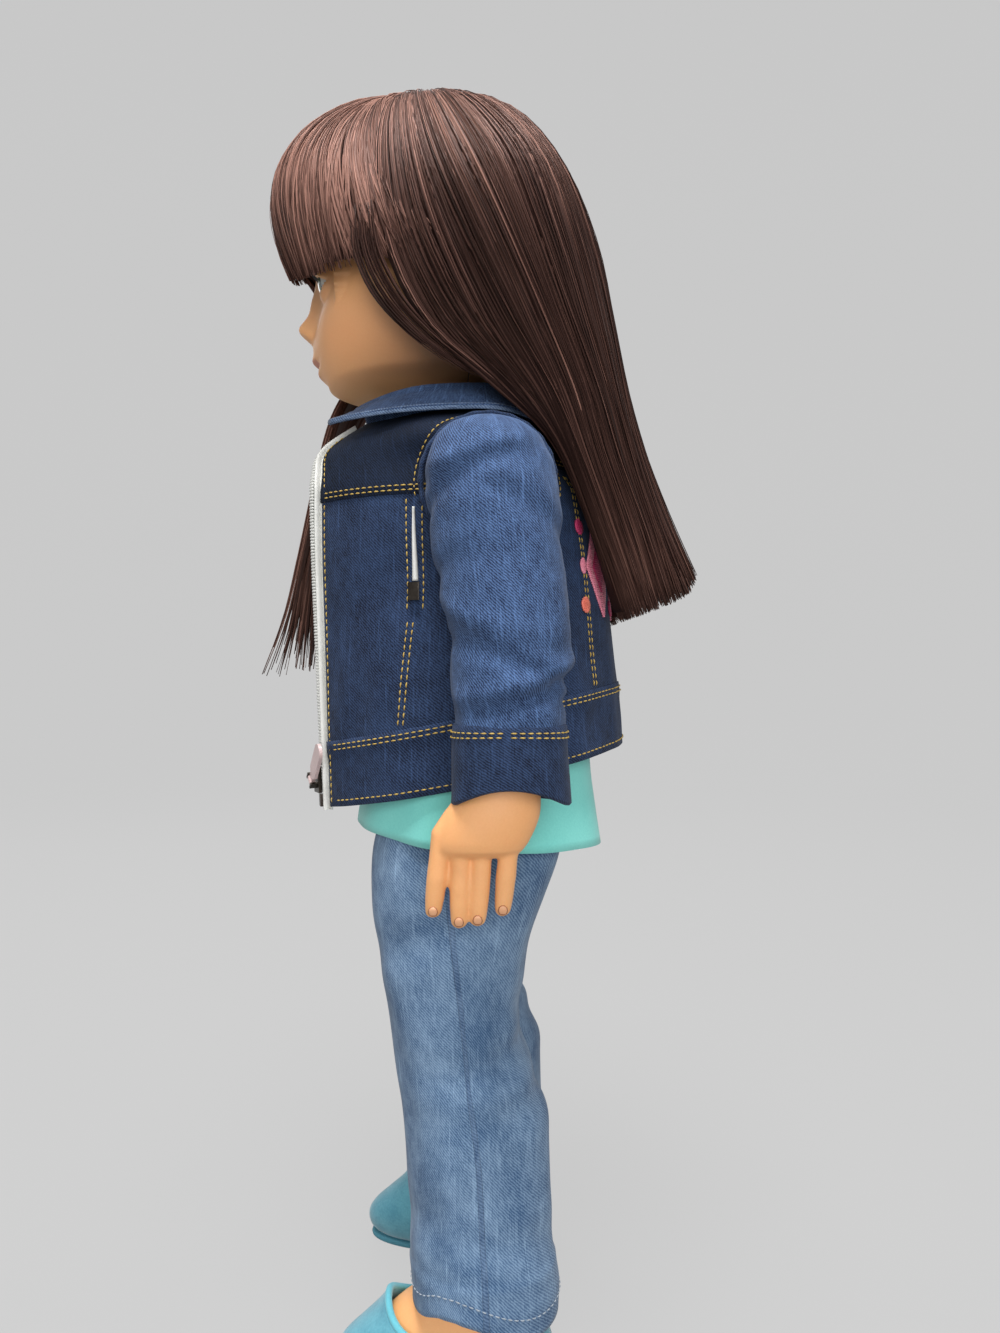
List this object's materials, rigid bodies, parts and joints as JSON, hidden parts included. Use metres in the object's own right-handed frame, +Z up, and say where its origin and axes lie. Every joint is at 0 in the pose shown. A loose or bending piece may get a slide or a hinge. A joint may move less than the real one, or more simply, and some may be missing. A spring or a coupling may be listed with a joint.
{
  "type": "play doll",
  "caption": "Jointed play doll with cloth torso, vinyl head and limbs, sleep eyes and long hair, dressed in an open zip jacket, top, jeans and slip-on shoes.",
  "frame": {"origin": "on the floor, under the middle of the whole doll's box", "axes": "+Z up, the doll faces -Y, its left side is +X"},
  "size_m": [0.175, 0.1704, 0.4625],
  "materials": {
    "body_cloth": "matte",
    "stuffing": "matte",
    "cord": "matte",
    "shirt_jersey": "matte",
    "jeans_denim": "matte",
    "jacket_denim": "matte",
    "zip_tape": "matte",
    "zip_teeth": "satin",
    "gunmetal": "satin",
    "tab_metal": "satin",
    "skin_vinyl": "satin",
    "bracket_plastic": "matte",
    "eye_gloss": "gloss",
    "steel": "satin",
    "hair_fibre": "satin",
    "shoe_suede": "matte",
    "shoe_sole": "matte"
  },
  "bodies": {
    "torso": {"torso_skin": "body_cloth", "torso_stuffing": "stuffing", "neck_drawstring": "cord", "shoulder_elastic": "cord", "hip_elastic": "cord", "shirt_body": "shirt_jersey", "jeans_seat": "jeans_denim", "jeans_crotch": "jeans_denim", "jacket_waistband": "jacket_denim", "jacket_yoke": "jacket_denim", "jacket_back": "jacket_denim", "jacket_left_front": "jacket_denim", "jacket_right_front": "jacket_denim", "jacket_collar": "jacket_denim", "left_zip_tape": "zip_tape", "right_zip_tape": "zip_tape", "left_zip_teeth": "zip_teeth", "right_zip_teeth": "zip_teeth", "left_pocket_zip": "zip_tape", "right_pocket_zip": "zip_tape", "left_pocket_slider": "gunmetal", "right_pocket_slider": "gunmetal", "zip_retainer_box": "gunmetal", "zip_pin": "gunmetal"},
    "head": {"head_shell": "skin_vinyl", "eye_bracket": "bracket_plastic", "wig_fringe": "hair_fibre", "wig_crown": "hair_fibre", "wig_back_length": "hair_fibre", "wig_front_lock": "hair_fibre"},
    "eyes": {"left_eye": "eye_gloss", "right_eye": "eye_gloss", "eye_axle": "steel", "eye_weight": "steel"},
    "arm_left": {"left_arm": "skin_vinyl", "left_arm_washer": "steel", "left_sleeve": "jacket_denim", "left_cuff": "jacket_denim"},
    "arm_right": {"right_arm": "skin_vinyl", "right_arm_washer": "steel", "right_sleeve": "jacket_denim", "right_cuff": "jacket_denim"},
    "leg_left": {"left_leg": "skin_vinyl", "left_leg_washer": "steel", "left_jeans_leg": "jeans_denim", "left_shoe_upper": "shoe_suede", "left_shoe_sole": "shoe_sole"},
    "leg_right": {"right_leg": "skin_vinyl", "right_leg_washer": "steel", "right_jeans_leg": "jeans_denim", "right_shoe_upper": "shoe_suede", "right_shoe_sole": "shoe_sole"},
    "slider": {"zip_slider": "gunmetal"},
    "pull": {"zip_pull_tab": "tab_metal"}
  },
  "joints": [
    {"name": "head_turn", "type": "hinge", "parent": "torso", "child": "head", "pos_m": [0, -0.00333, 0.336], "axis": [0, 0, 1], "range_deg": [-70, 70], "deforming": ["wig_back_length", "wig_front_lock"]},
    {"name": "eyes_close", "type": "hinge", "parent": "head", "child": "eyes", "pos_m": [0, -0.04654, 0.38], "axis": [1, 0, 0], "range_deg": [0, 50]},
    {"name": "left_shoulder", "type": "hinge", "parent": "torso", "child": "arm_left", "pos_m": [0.059, 0.00667, 0.302], "axis": [-1, 0, 0], "range_deg": [-60, 110]},
    {"name": "right_shoulder", "type": "hinge", "parent": "torso", "child": "arm_right", "pos_m": [-0.059, 0.00667, 0.302], "axis": [-1, 0, 0], "range_deg": [-60, 110]},
    {"name": "left_hip", "type": "hinge", "parent": "torso", "child": "leg_left", "pos_m": [0.0275, -0.00133, 0.16], "axis": [-1, 0, 0], "range_deg": [-25, 80]},
    {"name": "right_hip", "type": "hinge", "parent": "torso", "child": "leg_right", "pos_m": [-0.0275, -0.00133, 0.16], "axis": [-1, 0, 0], "range_deg": [-25, 80]},
    {"name": "zipper_slide", "type": "slide", "parent": "torso", "child": "slider", "axis": [0, -0.0405, 0.9992], "range_m": [0, 0.09]},
    {"name": "zipper_pull", "type": "hinge", "parent": "slider", "child": "pull", "pos_m": [0.0234, -0.0566, 0.20037], "axis": [0.6326, 0.3443, -0.6937], "range_deg": [0, 120]}
  ]
}
